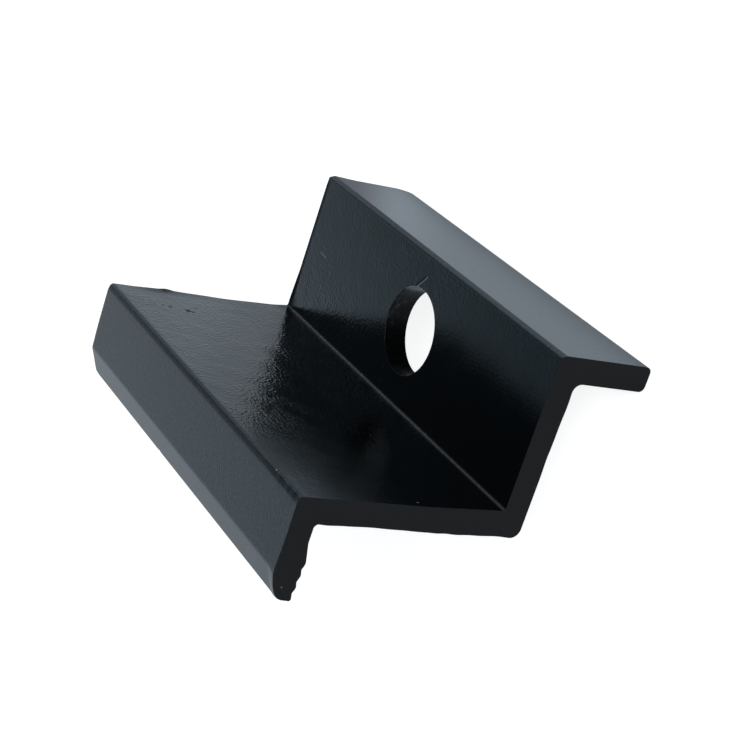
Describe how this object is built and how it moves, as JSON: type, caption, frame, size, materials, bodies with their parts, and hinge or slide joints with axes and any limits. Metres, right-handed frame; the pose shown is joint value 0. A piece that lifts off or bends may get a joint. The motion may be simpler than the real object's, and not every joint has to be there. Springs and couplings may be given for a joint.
{
  "type": "solar end clamp",
  "caption": "Z-shaped end clamp cut from black aluminium extrusion: toothed lip over the module frame, upright, web with a bolt hole and rail foot.",
  "frame": {"origin": "centre of the bolt hole in the web's top face, where the bolt head bears", "axes": "+Z along the bolt, up and away from the rail; -X towards the module that the lip holds; Y along the extrusion"},
  "size_m": [0.0262, 0.048, 0.032],
  "materials": {
    "black_coat": "satin black coat with a fine orange-peel grain"
  },
  "bodies": {
    "root": {"clamp_bracket": "black_coat"}
  },
  "joints": []
}
